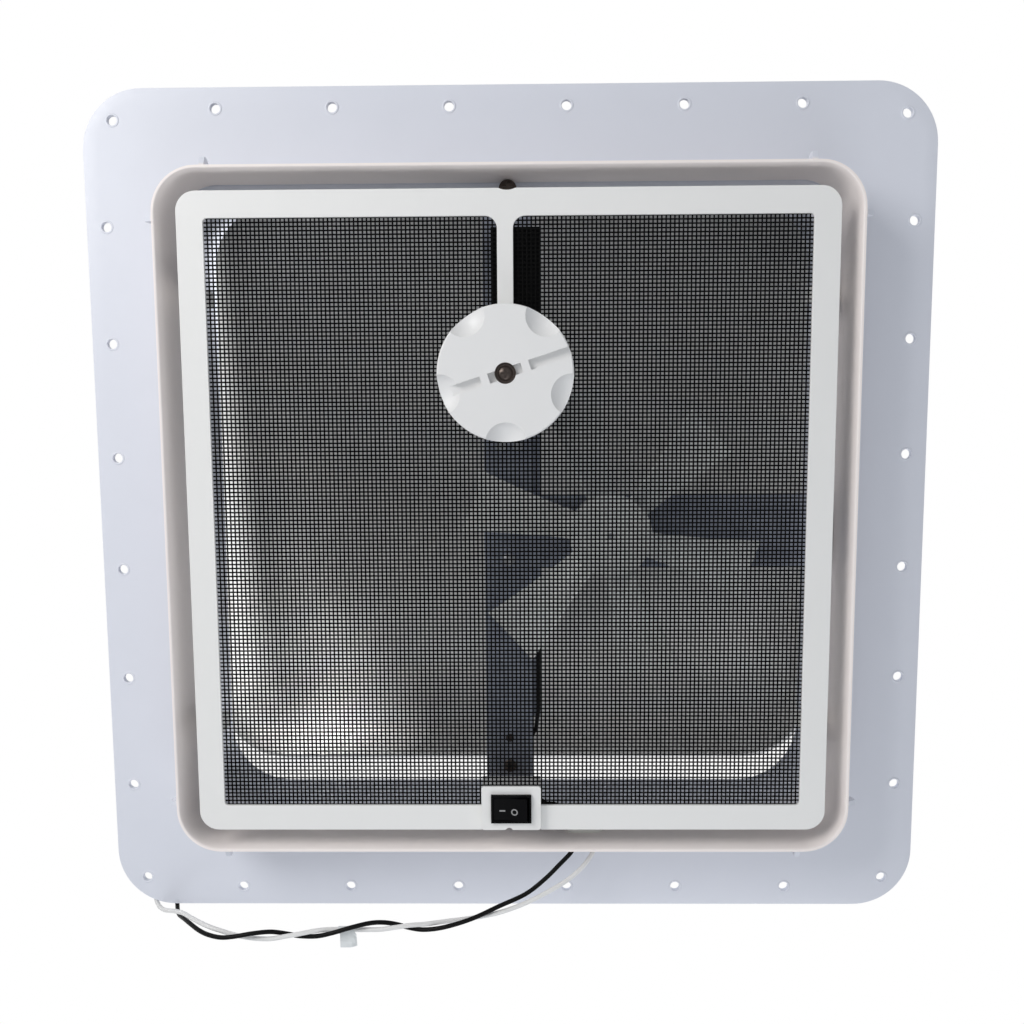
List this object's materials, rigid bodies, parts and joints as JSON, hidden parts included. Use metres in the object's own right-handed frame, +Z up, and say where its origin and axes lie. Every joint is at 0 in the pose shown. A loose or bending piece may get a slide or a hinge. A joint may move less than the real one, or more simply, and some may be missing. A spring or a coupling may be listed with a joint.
{
  "type": "roof_vent",
  "caption": "Caravan roof vent seen from below: white flange and collar, tilting lid on a worm lift, insect screen with knob, fan on a bracket, rocker switch and two supply leads.",
  "frame": {"origin": "centre of the square opening on the flange's underside, the roof plane", "axes": "+Z up out of the roof, -Y towards the lid's hinges, the fan stands at +X"},
  "size_m": [0.45, 0.4565, 0.2356],
  "materials": {
    "white_abs": "satin moulded",
    "lid_white": "smooth, slightly translucent white",
    "galvanised": "dull galvanised sheet",
    "zinc_steel": "zinc plated",
    "dark_screw": "dark bronze plating",
    "black_rubber": "matt",
    "black_plastic": "satin",
    "black_net": "matt woven net",
    "fan_plastic": "semi gloss pale grey",
    "nylon": "satin",
    "terminal_brass": "plain",
    "lead_black": "satin insulation",
    "lead_white": "satin insulation",
    "tape": "thin tape"
  },
  "bodies": {
    "base": {"base_moulding": "white_abs", "curb_seal": "black_rubber", "hinge_pins": "zinc_steel", "crossbar": "galvanised", "crossbar_screws": "dark_screw", "shaft_bush": "nylon", "operator_bracket": "zinc_steel", "operator_cover": "black_plastic", "bracket_rivets": "zinc_steel", "arm_axle": "zinc_steel", "motor_bracket": "galvanised", "motor_bracket_screws": "zinc_steel", "motor_body": "zinc_steel", "motor_end_cap": "black_plastic", "motor_screws": "dark_screw", "screen_frame": "white_abs", "screen_mesh": "black_net", "switch_housing": "white_abs", "switch_body": "black_plastic", "switch_terminals": "terminal_brass", "inner_leads": "lead_black", "lead_grommet": "black_rubber", "black_lead": "lead_black", "white_lead": "lead_white", "lead_tips": "terminal_brass", "wire_tag": "tape", "screen_screw": "dark_screw"},
    "lid": {"lid_shell": "lid_white", "lid_hinge_leaves": "white_abs", "leaf_rivets": "zinc_steel", "lid_track": "galvanised", "track_rivets": "zinc_steel"},
    "arm": {"lift_arm": "zinc_steel", "worm_wheel": "nylon", "arm_rivets": "zinc_steel", "roller_pin": "zinc_steel"},
    "roller": {"track_roller": "nylon"},
    "crank": {"knob": "white_abs", "knob_screw": "dark_screw", "worm_shaft": "zinc_steel", "shaft_clip": "zinc_steel"},
    "fan": {"fan_rotor": "fan_plastic", "motor_shaft": "zinc_steel"},
    "rocker": {"switch_rocker": "black_plastic"}
  },
  "joints": [
    {"name": "lid_hinge", "type": "hinge", "parent": "base", "child": "lid", "pos_m": [0, -0.207, 0.032], "axis": [1, 0, 0], "range_deg": [-15, 35]},
    {"name": "arm_swing", "type": "hinge", "parent": "base", "child": "arm", "pos_m": [0, -0.053, 0.02], "axis": [1, 0, 0], "range_deg": [-30, 70]},
    {"name": "knob_turn", "type": "hinge", "parent": "base", "child": "crank", "pos_m": [-0.0012, -0.0735, 0], "axis": [0, 0, 1], "range_deg": [-900, 2100]},
    {"name": "roller_spin", "type": "hinge", "parent": "arm", "child": "roller", "pos_m": [0.0098, 0.06097, 0.12427], "axis": [1, 0, 0], "continuous": true},
    {"name": "fan_spin", "type": "hinge", "parent": "base", "child": "fan", "pos_m": [0.053, 0.01, -0.018], "axis": [0, 0, 1], "continuous": true},
    {"name": "rocker_tilt", "type": "hinge", "parent": "base", "child": "rocker", "pos_m": [0.0002, 0.151, -0.039], "axis": [0, 1, 0], "range_deg": [-18, 0]}
  ],
  "couplings": [
    {"joint": "arm_swing", "follows": "lid_hinge", "ratio": 2},
    {"joint": "knob_turn", "follows": "lid_hinge", "ratio": 60}
  ]
}
